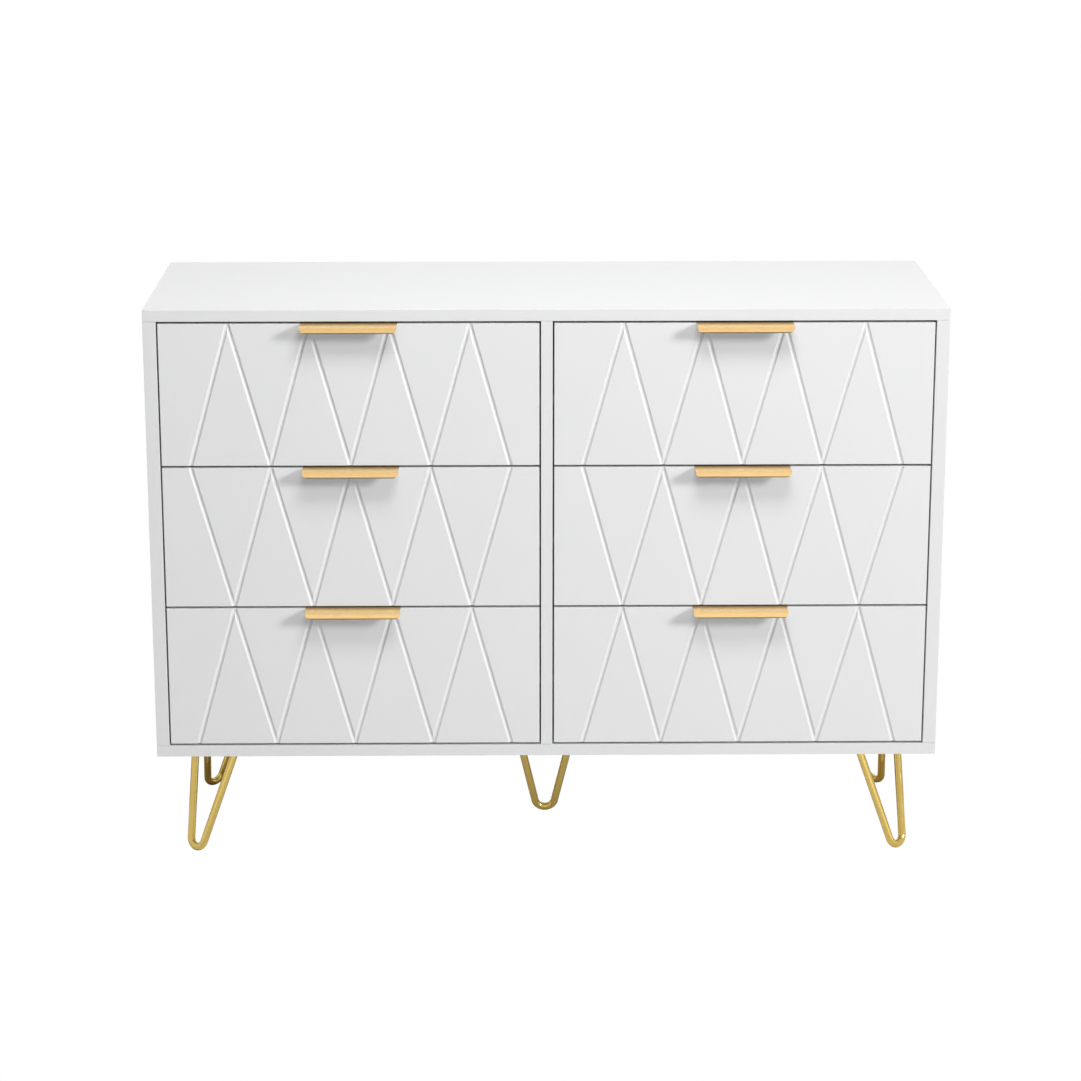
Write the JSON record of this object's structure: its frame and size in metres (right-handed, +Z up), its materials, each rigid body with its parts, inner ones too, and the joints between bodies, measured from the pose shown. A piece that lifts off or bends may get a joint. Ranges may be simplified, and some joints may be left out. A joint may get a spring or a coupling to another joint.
{
  "type": "dresser",
  "caption": "Low wide white dresser: inset drawers in two columns with zigzag-grooved fronts, gold finger pulls and bent-rod hairpin legs.",
  "frame": {"origin": "on the floor, under the middle of the whole object's box, handles included", "axes": "+X to the right seen from the front, +Y to the back, +Z up; drawers open towards -Y"},
  "size_m": [1.1, 0.4, 0.8],
  "materials": {
    "white_board": "satin white melamine on particle board",
    "white_front": "satin white lacquer on routed fibreboard",
    "drawer_board": "matt white foil on particle board",
    "white_hardboard": "matt white painted hardboard",
    "grey_runner": "moulded, smooth",
    "gold_handle": "satin gold, finely brushed",
    "gold_leg": "satin gold"
  },
  "bodies": {
    "carcass": {"top_panel": "white_board", "bottom_panel": "white_board", "left_side_panel": "white_board", "right_side_panel": "white_board", "centre_divider": "white_board", "left_back_panel": "white_hardboard", "right_back_panel": "white_hardboard", "front_left_leg": "gold_leg", "front_right_leg": "gold_leg", "rear_left_leg": "gold_leg", "rear_right_leg": "gold_leg", "centre_leg": "gold_leg", "left_bottom_drawer_runner_left": "grey_runner", "left_bottom_drawer_runner_right": "grey_runner", "left_middle_drawer_runner_left": "grey_runner", "left_middle_drawer_runner_right": "grey_runner", "left_top_drawer_runner_left": "grey_runner", "left_top_drawer_runner_right": "grey_runner", "right_bottom_drawer_runner_left": "grey_runner", "right_bottom_drawer_runner_right": "grey_runner", "right_middle_drawer_runner_left": "grey_runner", "right_middle_drawer_runner_right": "grey_runner", "right_top_drawer_runner_left": "grey_runner", "right_top_drawer_runner_right": "grey_runner"},
    "left_bottom_drawer": {"left_bottom_drawer_front": "white_front", "left_bottom_drawer_side_left": "drawer_board", "left_bottom_drawer_side_right": "drawer_board", "left_bottom_drawer_back": "drawer_board", "left_bottom_drawer_bottom": "white_hardboard", "left_bottom_drawer_handle": "gold_handle"},
    "left_middle_drawer": {"left_middle_drawer_front": "white_front", "left_middle_drawer_side_left": "drawer_board", "left_middle_drawer_side_right": "drawer_board", "left_middle_drawer_back": "drawer_board", "left_middle_drawer_bottom": "white_hardboard", "left_middle_drawer_handle": "gold_handle"},
    "left_top_drawer": {"left_top_drawer_front": "white_front", "left_top_drawer_side_left": "drawer_board", "left_top_drawer_side_right": "drawer_board", "left_top_drawer_back": "drawer_board", "left_top_drawer_bottom": "white_hardboard", "left_top_drawer_handle": "gold_handle"},
    "right_bottom_drawer": {"right_bottom_drawer_front": "white_front", "right_bottom_drawer_side_left": "drawer_board", "right_bottom_drawer_side_right": "drawer_board", "right_bottom_drawer_back": "drawer_board", "right_bottom_drawer_bottom": "white_hardboard", "right_bottom_drawer_handle": "gold_handle"},
    "right_middle_drawer": {"right_middle_drawer_front": "white_front", "right_middle_drawer_side_left": "drawer_board", "right_middle_drawer_side_right": "drawer_board", "right_middle_drawer_back": "drawer_board", "right_middle_drawer_bottom": "white_hardboard", "right_middle_drawer_handle": "gold_handle"},
    "right_top_drawer": {"right_top_drawer_front": "white_front", "right_top_drawer_side_left": "drawer_board", "right_top_drawer_side_right": "drawer_board", "right_top_drawer_back": "drawer_board", "right_top_drawer_bottom": "white_hardboard", "right_top_drawer_handle": "gold_handle"}
  },
  "joints": [
    {"name": "left_bottom_drawer_slide", "type": "slide", "parent": "carcass", "child": "left_bottom_drawer", "axis": [0, -1, 0], "range_m": [0, 0.24]},
    {"name": "left_middle_drawer_slide", "type": "slide", "parent": "carcass", "child": "left_middle_drawer", "axis": [0, -1, 0], "range_m": [0, 0.24]},
    {"name": "left_top_drawer_slide", "type": "slide", "parent": "carcass", "child": "left_top_drawer", "axis": [0, -1, 0], "range_m": [0, 0.24]},
    {"name": "right_bottom_drawer_slide", "type": "slide", "parent": "carcass", "child": "right_bottom_drawer", "axis": [0, -1, 0], "range_m": [0, 0.24]},
    {"name": "right_middle_drawer_slide", "type": "slide", "parent": "carcass", "child": "right_middle_drawer", "axis": [0, -1, 0], "range_m": [0, 0.24]},
    {"name": "right_top_drawer_slide", "type": "slide", "parent": "carcass", "child": "right_top_drawer", "axis": [0, -1, 0], "range_m": [0, 0.24]}
  ]
}
